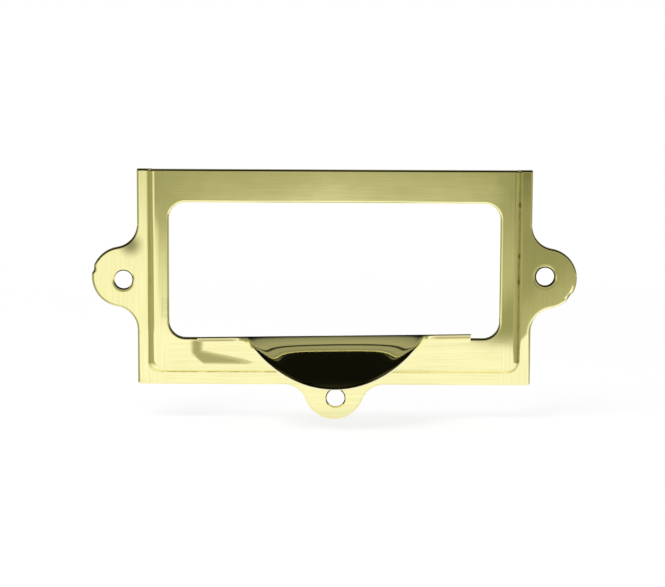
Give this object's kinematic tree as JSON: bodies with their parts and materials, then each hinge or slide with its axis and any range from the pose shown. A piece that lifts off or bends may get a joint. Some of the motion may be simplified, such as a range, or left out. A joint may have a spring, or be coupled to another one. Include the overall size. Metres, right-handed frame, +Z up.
{
  "type": "label frame pull",
  "caption": "Pressed brass label frame with screw ears, a card window open at the top and a curved finger pull folded forward out of the window's lower edge.",
  "frame": {"origin": "midway between the two side screw holes, on the back of the flange", "axes": "+X to the right along the frame, +Z up, the front and the finger pull face -Y"},
  "size_m": [0.0862, 0.0135, 0.0447],
  "materials": {
    "brass": "polished, with fine brushing"
  },
  "bodies": {
    "root": {"label_frame_pull": "brass"}
  },
  "joints": []
}
